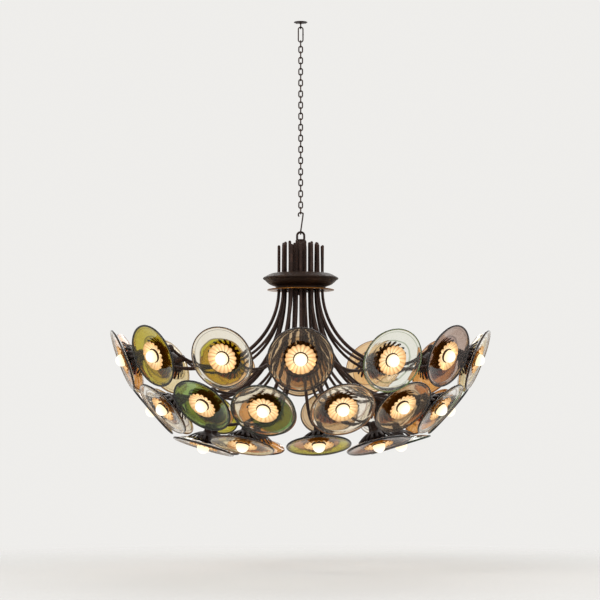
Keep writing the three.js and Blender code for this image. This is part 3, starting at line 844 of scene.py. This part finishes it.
# Each petal is whole up to its neck, half as wide past it, and rounded off at the tip
sheet, side, far = sheet_of(petal_tree, PETAL_ACROSS, PETAL_ALONG)
side, far = side * 2.0, far + 0.5
radius = given["Root radius"] + far * (given["Tip radius"] - given["Root radius"])
half_turn = (math.pi / given["Petals"]).by("TANGENT")
neck = ramp(far, 0.50, 0.66, 1.0, 0.50)
past = ((far - TIP_START) / (1 - TIP_START)).by("MAXIMUM", 0.0)
taper = neck * (1.0 - past * past).by("MAXIMUM", 0.0).by("SQRT")
width = radius * half_turn * taper.by("MAXIMUM", TIP_WIDTH)
depth = given["Back"] + far**1.45 * (given["Front"] - given["Back"])
cupped = side * side * ramp(far, 0.3, 0.8) * given["Cup"]
petal = laid(sheet, radius, side * width, depth + cupped)
one_each = {"Count": given["Petals"], "Offset": (0, 0, 0)}
stations = result(petal_tree, "GeometryNodeMeshLine", one_each, mode="OFFSET")
turn = result(petal_tree, "GeometryNodeInputIndex") * (2 * math.pi / given["Petals"])
fanned = {"Points": stations, "Instance": petal, "Rotation": vector_of(petal_tree, Z=turn)}
fan = result(petal_tree, "GeometryNodeInstanceOnPoints", fanned)
close_tree(welded(result(petal_tree, "GeometryNodeRealizeInstances", {"Geometry": fan})))


def thickened(mesh, thickness):
    """A sheet given a wall, evenly to both sides."""
    holder = held(mesh)
    wall = holder.modifiers.new("wall", "SOLIDIFY")
    wall.thickness = thickness
    wall.offset = 0
    return made_plain(holder)


crown_iron = forged_metal("crown_iron", "20120C", "3A261A", "482814", grain=1.3, wear=0.5, dull=0.54, metallic=0.25)
crown = thickened(grown_alone(petal_tree, CROWN, crown_iron), CROWN_SHEET)
at_every_lamp("petal_crowns", crown, crown_iron, "dark_iron", sharp=60)

# --------------------------------
# Reflectors: shallow cups of gilt brass sheet in front of each pane, pressed into pleats so that
# the edge is scalloped. The lamp stands in the middle; the pleats glow with painted lamplight, brightest near the lamp
# and on the ridges.
ROOT, EDGE = 0.0085, 0.0370
CUP = {"Pleats": 18, "Root radius": ROOT, "Edge radius": EDGE, "Back": 0.0036, "Front": 0.0145, "Pleat depth": 0.0016}
PLEAT_STEPS = 8
CUP_STEPS = 13
SCALLOP = 0.0012
CUP_SHEET = 0.0007
PAINTED_CUP_GLOW = 1.45
pleat_tree, given, taken = shape_tree("pleated_cup", CUP)
sheet, around, far = sheet_of(pleat_tree, given["Pleats"] * float(PLEAT_STEPS) + 1.0, CUP_STEPS)
angle, far = (around + 0.5) * (2 * math.pi), far + 0.5
rounded = abs((angle * given["Pleats"] * 0.5).by("COSINE")) * 2.0 - 1.0
scallop = rounded * SCALLOP * far**6.0
radius = given["Root radius"] + far * (given["Edge radius"] - given["Root radius"]) + scallop
depth = given["Back"] + far**1.5 * (given["Front"] - given["Back"])
pleat = rounded * given["Pleat depth"] * ramp(far, 0.08, 0.7)
close_tree(welded(laid(sheet, radius * angle.by("COSINE"), radius * angle.by("SINE"), depth - pleat)))


def within(value):
    """A share, kept between none and whole."""
    return min(max(value, 0), 1)


def lit_by_lamp(mesh, share_at):
    """Writes on each point of a mesh how brightly it glows: the lamp's own glow on a bulb, painted lamplight on a
    reflector.
    """
    lit = mesh.attributes.new("lit", "FLOAT", "POINT")
    for v in mesh.vertices:
        lit.data[v.index].value = share_at(v)


def pleat_light(v):
    """Painted lamplight and painted highlights: more near the lamp, on the ridges, and where the metal faces forward.
    """
    out = (math.hypot(v.co.x, v.co.y) - ROOT) / (EDGE - ROOT)
    ridge = abs(math.cos(math.atan2(v.co.y, v.co.x) * CUP["Pleats"] / 2))
    return within(v.normal.z * 2.5) * (1 - within(out) ** 1.5 * 0.72) * (0.35 + 0.65 * ridge)


gilt_brass = forged_metal(
    "gilt_brass", "A06C32", "DDB572", "5E3A16", grain=1.6, wear=0.7, dull=0.3, metallic=0.75, relief=0.12
)
reflector = thickened(grown_alone(pleat_tree, CUP, gilt_brass), CUP_SHEET)
lit_by_lamp(reflector, pleat_light)
# The reflector is no lamp: its emission is painted lamplight, warm near the lamp and on the ridges, dim brown towards
# the edge.
tree = gilt_brass.node_tree
painted_light_share = result(tree, "ShaderNodeAttribute", output="Fac", attribute_name="lit")
painted_lamplight = blend_colours(painted_light_share, (0.10, 0.03, 0.0, 1), (1.0, 0.80, 0.46, 1))
shader = next(n for n in tree.nodes if n.type == "BSDF_PRINCIPLED").inputs
fill(tree, shader, {"Emission Color": painted_lamplight, "Emission Strength": PAINTED_CUP_GLOW})
at_every_lamp("reflectors", reflector, gilt_brass, "aged_brass", sharp=70)

# --------------------------------
# Lamp collars: a dark turned ring inside each reflector that the lamp is screwed into. It shows
# as a dark arc above the lamp.
collar_iron = forged_metal("collar_iron", "2B190C", "5A3A1E", "47290F", grain=1.5, wear=0.5, dull=0.4)
lamp_collar_profile = [
    (0.0125, 0.0118), (0.0165, 0.0128), (0.0182, 0.0120), (0.0186, 0.0102), (0.0172, 0.0092), (0.0160, 0.0060),
    (0.0125, 0.0056),
]
at_every_lamp("lamp_collars", turned_ring(lamp_collar_profile, 0.0006, 40), collar_iron, "aged_brass")

# --------------------------------
# Lamps: small round frosted bulbs, lit, that stand forward out of the reflectors. Each narrows
# at the back to the neck that its collar holds, and glows most at the front.
BULB_RADIUS = 0.016
BULB_MIDDLE = 0.016
BULB_NECK = 0.0082
BULB_GLOW = 1.1
lit_glass, tree, shader, where = new_material("lit_frosted_glass")
patch = result(tree, "ShaderNodeTexNoise", {"Vector": where, "Scale": 160.0, "Detail": 3.0})
edge_glow = blend_colours(ramp(patch, 0.35, 0.7), (1.0, 0.74, 0.38, 1), (1.0, 0.78, 0.44, 1))
heart = result(tree, "ShaderNodeAttribute", output="Fac", attribute_name="lit")
glow = blend_colours(heart, edge_glow, (1.0, 0.95, 0.82, 1))
frost = blend_colours(patch, (0.34, 0.30, 0.24, 1), (0.28, 0.25, 0.20, 1))
fill(tree, shader, {"Base Color": frost, "Roughness": ramp(patch, 0.3, 0.7, 0.28, 0.42)})
fill(tree, shader, {"Emission Color": glow, "Emission Strength": BULB_GLOW})
turns = [math.pi * k / 16 for k in range(13)]
bulb_profile = [(BULB_RADIUS * math.sin(a), BULB_MIDDLE + BULB_RADIUS * math.cos(a)) for a in turns]
bulb = turned([*bulb_profile, (BULB_NECK, 0.0040), (BULB_NECK, 0.0010), (0, 0.0010)], 32)
lit_by_lamp(bulb, lambda v: within((v.co.z - 0.012) / 0.018))
at_every_lamp("lamps", bulb, lit_glass, None, sharp=60)

# --------------------------------
# Glass panes: thick discs cast and spun by hand, with a heavier rounded rim and a hole in the
# middle for the lampholder's neck. A second gather of coloured glass lies off centre in many.
PANE_RADIUS = 0.0826
PANE_HOLE = 0.0100
PANE_THICKNESS = 0.0050
PANE_DISH = 0.0150
PANE_SIDES = 72
PROFILE_STEPS = 9
HOLE_EASE = 0.0006
RIM_ROUND = 0.0032
RIM_FLAT = 0.92
RIM_STEPS = 8
RIM_BACK = 0.0012
RIM_OVERLAP = 0.0055
STILL_RADIUS = 0.02
WAVER_ACROSS = 0.012
WAVER_UP = 0.0011
GLASS_IOR = 1.46
melt, given, taken = open_tree(
    "hand_made_glass",
    "ShaderNodeTree",
    {
        "Disc": "Vector",
        "Body": (0.8, 0.8, 0.8, 1),
        "Core": (0.8, 0.8, 0.8, 1),
        "Rim": (0.1, 0.08, 0.05, 1),
        "Core radius": 0.6,
        "Core shift": 0.15,
        "Rim width": 0.05,
    },
    FINISH_OUTPUTS,
)


def vectors(tree, operation, *values, output=0, **named):
    """A vector maths node's result."""
    inputs = {**dict(enumerate(values)), **named}
    return result(tree, "ShaderNodeVectorMath", inputs, output, operation=operation)


def noise_on(place, scale, detail=2.0, output=0, **more):
    """A cloud pattern's result."""
    inputs = {"Vector": place, "Scale": scale, "Detail": detail, **more}
    return result(place.tree, "ShaderNodeTexNoise", inputs, output)


# The disc runs from -1 to 1 each way. Stirred, its second gather and its streaks are no longer round
centring = {"Vector": given["Disc"], "Location": (-1, -1, 0), "Scale": (2, 2, 1)}
centred = result(melt, "ShaderNodeMapping", centring)
stir = vectors(melt, "SUBTRACT", noise_on(centred, 1.4, output="Color"), (0.5, 0.5, 0.5))
flowed = vectors(melt, "ADD", centred, vectors(melt, "SCALE", stir, Scale=0.16))
flat = vectors(melt, "MULTIPLY", flowed, (1, 1, 0))
core_middle = vector_of(melt, X=given["Core shift"])
edge_gap = vectors(melt, "DISTANCE", flat, core_middle, output="Value") - given["Core radius"]
core_share = ramp(edge_gap, 0.035, -0.035)
core_line = 1.0 - ramp(abs(edge_gap), 0.004, 0.03)
out_from = vectors(melt, "LENGTH", vectors(melt, "MULTIPLY", centred, (1, 1, 0)), output="Value")
rim_start = 0.995 - given["Rim width"]
rim_share = ramp(out_from, rim_start, rim_start + 0.025)
inner_line = 1.0 - ramp(abs(out_from - 0.895), 0.004, 0.014)
streak_room = {"Vector": flowed, "Rotation": (0, 0, 0.6), "Scale": (1.2, 5.0, 1)}
streaks = noise_on(result(melt, "ShaderNodeMapping", streak_room), 2.2, 5.0, Distortion=0.8)
seeds = result(melt, "ShaderNodeTexVoronoi", {"Vector": centred, "Scale": 13.0}, "Distance")
seed_share = ramp(seeds, 0.10, 0.05)
tinted = blend_colours(core_share, given["Body"], given["Core"])
deeper = result(melt, "ShaderNodeGamma", {"Color": tinted, "Gamma": 1.3})
deep = blend_colours(ramp(streaks, 0.45, 0.75), tinted, deeper)
lined = blend_colours(core_line * 0.6, deep, given["Rim"])
seeded = blend_colours(seed_share * 0.35, lined, (0.95, 0.92, 0.84, 1))
ringed = blend_colours(inner_line * 0.55, seeded, given["Rim"])
tone = blend_colours(rim_share, ringed, given["Rim"])
relief = noise_on(centred, 3.2) + (noise_on(centred, 16.0) * 0.12 + seed_share * 0.10) + core_share * 0.25
fill(melt, taken, {"Color": tone, "Roughness": ramp(streaks, 0.3, 0.8, 0.02, 0.07), "Height": relief})

# Body, core and rim colours, core radius and shift in pane radii, and the rim's width
GATHERS = {
    "smoke": ("D2B48C", "C09A6A", "2B1A0B", 0.62, 0.05, 0.055),
    "clear": ("F6F2EA", "F8F5EE", "5A3C1C", 0.70, 0.08, 0.034),
    "clear_green_rim": ("F3F3E9", "F5F5EC", "557634", 0.66, 0.06, 0.042),
    "clear_olive_core": ("F7F1E2", "C2B436", "4A2C10", 0.72, 0.13, 0.040),
    "clear_amber_rim": ("F6ECD8", "F8F0E2", "80450F", 0.66, 0.10, 0.045),
    "grey": ("BBA497", "AB9187", "20140E", 0.62, 0.06, 0.060),
    "straw": ("EEDDB0", "E5CD94", "5E3A14", 0.60, 0.15, 0.042),
    "amber": ("E2A55C", "D48F42", "6A370E", 0.62, 0.12, 0.048),
    "amber_pale": ("F0CD9C", "E8BA7C", "70400F", 0.62, 0.12, 0.040),
    "olive": ("C2B13C", "B09C30", "1E190A", 0.66, 0.10, 0.066),
    "olive_ring": ("C0B440", "B98552", "1E190A", 0.70, 0.06, 0.062),
    "moss": ("8FA85A", "739248", "12180A", 0.66, 0.14, 0.070),
    "moss_core": ("EADFC6", "7FA45A", "182212", 0.68, 0.27, 0.060),
}
glass_materials = {}
for gather, (body, core, rim, core_radius, core_shift, rim_width) in GATHERS.items():
    glass, tree, shader, _ = new_material(gather + "_glass")
    disc = result(tree, "ShaderNodeUVMap", uv_map="disc")
    colours = {"Body": paint(body), "Core": paint(core), "Rim": paint(rim)}
    sizes = {"Core radius": core_radius, "Core shift": core_shift, "Rim width": rim_width}
    surfaced(tree, shader, melt, {"Disc": disc, **colours, **sizes}, 0.14, 0.0008)
    fill(tree, shader, {"Transmission Weight": 1.0, "IOR": GLASS_IOR})
    glass_materials[gather] = glass

# The gather of each pane, from the front towards +X, and the way its core lies, in degrees
PANES = {
    "upper": [
        ("smoke", 90), ("clear_green_rim", 250), ("grey", 200), ("clear", 0), ("straw", 60),
        ("amber", 120), ("amber_pale", 300), ("smoke", 10), ("amber_pale", 220), ("straw", 150),
        ("amber", 40), ("clear", 100), ("olive", 320), ("clear_olive_core", 248),
    ],
    "middle": [
        ("clear_amber_rim", 30), ("smoke", 320), ("clear", 80), ("moss_core", 140), ("amber", 200),
        ("clear", 10), ("smoke", 250), ("amber", 75), ("olive_ring", 190), ("clear_amber_rim", 290),
        ("smoke", 45), ("clear", 160), ("moss", 330), ("moss_core", 318),
    ],
    "lower": [
        ("olive_ring", 180), ("grey", 30), ("clear_green_rim", 100), ("amber", 240), ("clear_amber_rim", 330),
        ("amber", 60), ("smoke", 120), ("clear", 210), ("straw", 20),
    ],
}


def pane_profile():
    """A pane's section: down the dished front, round the rim and back up behind."""
    front, rim, back = [], [], []
    for k in range(PROFILE_STEPS + 1):
        t = k / PROFILE_STEPS
        r = PANE_HOLE + HOLE_EASE + (PANE_RADIUS - RIM_OVERLAP - PANE_HOLE) * t
        middle = PANE_DISH * ((r - PANE_HOLE) / (PANE_RADIUS - PANE_HOLE)) ** 2
        half = PANE_THICKNESS / 2 * (0.88 - 0.04 * math.sin(3 * t))
        front.append((r, middle + half))
        back.append((r, middle - half))
    for k in range(1, RIM_STEPS):
        angle = math.pi / 2 - math.pi * k / RIM_STEPS
        r = PANE_RADIUS - RIM_ROUND + RIM_ROUND * math.cos(angle)
        rim.append((r, PANE_DISH - RIM_BACK + RIM_ROUND * math.sin(angle) * RIM_FLAT))
    return [*front, *rim, *reversed(back)]


def hand_made(pane, hand):
    """Makes a pane's outline and face waver, more towards the rim."""
    drift = Vector([hand.uniform(-9, 9) for _ in range(3)])
    for v in pane.vertices:
        out = math.hypot(v.co.x, v.co.y)
        if out > STILL_RADIUS:
            wobble = noise.noise(Vector((v.co.x * 14, v.co.y * 14, 0)) + drift)
            swell = noise.noise(Vector((v.co.x * 9, v.co.y * 9, 3)) + drift)
            share = (out - STILL_RADIUS) / (PANE_RADIUS - STILL_RADIUS)
            v.co.x *= 1 - WAVER_ACROSS * share * abs(wobble)
            v.co.y *= 1 - WAVER_ACROSS * share * abs(wobble)
            v.co.z += WAVER_UP * share * swell


def mapped(pane, lie):
    """Lays a pane's pattern on it, turned the way its core lies."""
    turn = math.radians(lie)
    flow = pane.uv_layers.new(name="disc")
    spots = [(v.co.x / PANE_RADIUS, v.co.y / PANE_RADIUS) for v in pane.vertices]
    for corner in pane.loops:
        x, y = spots[corner.vertex_index]
        across = x * math.cos(turn) + y * math.sin(turn)
        up = y * math.cos(turn) - x * math.sin(turn)
        flow.data[corner.index].uv = (0.5 + 0.5 * across, 0.5 + 0.5 * up)


for name, tier in TIERS.items():
    for i, ((_, _, matrix), (gather, lie)) in enumerate(zip(tier["places"], PANES[name])):
        pane = turned(pane_profile(), PANE_SIDES, closed=True)
        mapped(pane, lie)
        hand_made(pane, random.Random(name + str(i)))
        pane.transform(matrix)
        node = f"{name}_pane_{i + 1:02d}"
        slot = gather.split("_")[0] + "_glass"
        finished(node + "_glass", pane, glass_materials[gather], "fixture", slot, node, sharp=60)

# --------------------------------
# Studio: a plain pale floor under the hanging fixture, a pale surround, and large soft lights.
# The floor fades out round the shadow, and isn't seen from below.
FLOOR_HEIGHT = -1.46
FLOOR_REACH = 30
FADE_START, FADE_END = 0.5, 1.9
SURROUND = (0.86, 0.85, 0.83, 1)
LIT_AT = Vector((0, 0, -0.8))
corners = [(-1, -1), (1, -1), (1, 1), (-1, 1)]
floor_mesh = bpy.data.meshes.new("floor")
floor_mesh.from_pydata([(x * FLOOR_REACH, y * FLOOR_REACH, FLOOR_HEIGHT) for x, y in corners], [], [(0, 1, 2, 3)])
floor = bpy.data.objects.new("floor", floor_mesh)
scene.collection.objects.link(floor)
floor_paint, tree, shader, where = new_material("floor_paint")
shade = result(tree, "ShaderNodeTexNoise", {"Vector": where, "Scale": 3.0})
pale = blend_colours(shade, (0.84, 0.83, 0.81, 1), SURROUND)
fill(tree, shader, {"Base Color": pale, "Roughness": 0.9, "Specular IOR Level": 0.1})
away = vectors(tree, "LENGTH", vectors(tree, "MULTIPLY", where, (1, 1, 0)), output="Value")
from_below = result(tree, "ShaderNodeNewGeometry", output="Backfacing")
fading = ramp(away, FADE_START, FADE_END).by("MAXIMUM", from_below)
clear_air = result(tree, "ShaderNodeBsdfTransparent")
painted = next(n for n in tree.nodes if n.type == "BSDF_PRINCIPLED").outputs[0]
faded = result(tree, "ShaderNodeMixShader", {0: fading, 1: painted, 2: clear_air})
fill(tree, next(n for n in tree.nodes if n.type == "OUTPUT_MATERIAL").inputs, {"Surface": faded})
floor_mesh.materials.append(floor_paint)

world = bpy.data.worlds.new("surround")
scene.world = world
world.use_nodes = True
tree = world.node_tree
tree.nodes.clear()
rays = put(tree, "ShaderNodeLightPath").outputs
by_eye, by_shine, by_glass = [Amount(tree, rays[f"Is {kind} Ray"]) for kind in ("Camera", "Glossy", "Transmission")]
seen = by_eye.by("MAXIMUM", by_shine.by("MAXIMUM", by_glass))
lighting = result(tree, "ShaderNodeBackground", {"Color": (0.95, 0.94, 0.92, 1), "Strength": 0.55})
showing = result(tree, "ShaderNodeBackground", {"Color": SURROUND, "Strength": 1.0})
mixed = result(tree, "ShaderNodeMixShader", {0: seen, 1: lighting, 2: showing})
put(tree, "ShaderNodeOutputWorld", {"Surface": mixed})

# Each light's place, size and power
LIGHTS = {
    "key_light": ((-2.2, -3.4, 1.6), 2.6, 90),
    "fill_light": ((3.0, -2.6, 0.4), 3.0, 45),
    "back_light": ((0.6, 3.4, 1.4), 3.0, 60),
}
for name, (spot, size, power) in LIGHTS.items():
    lamp = bpy.data.lights.new(name, "AREA")
    lamp.size = size
    lamp.energy = power
    light = bpy.data.objects.new(name, lamp)
    light.location = spot
    light.rotation_euler = (LIT_AT - Vector(spot)).to_track_quat("-Z", "Y").to_euler()
    light.visible_transmission = False  # the glass shows the pale surround, not the lights
    scene.collection.objects.link(light)
scene.view_settings.view_transform = "Standard"
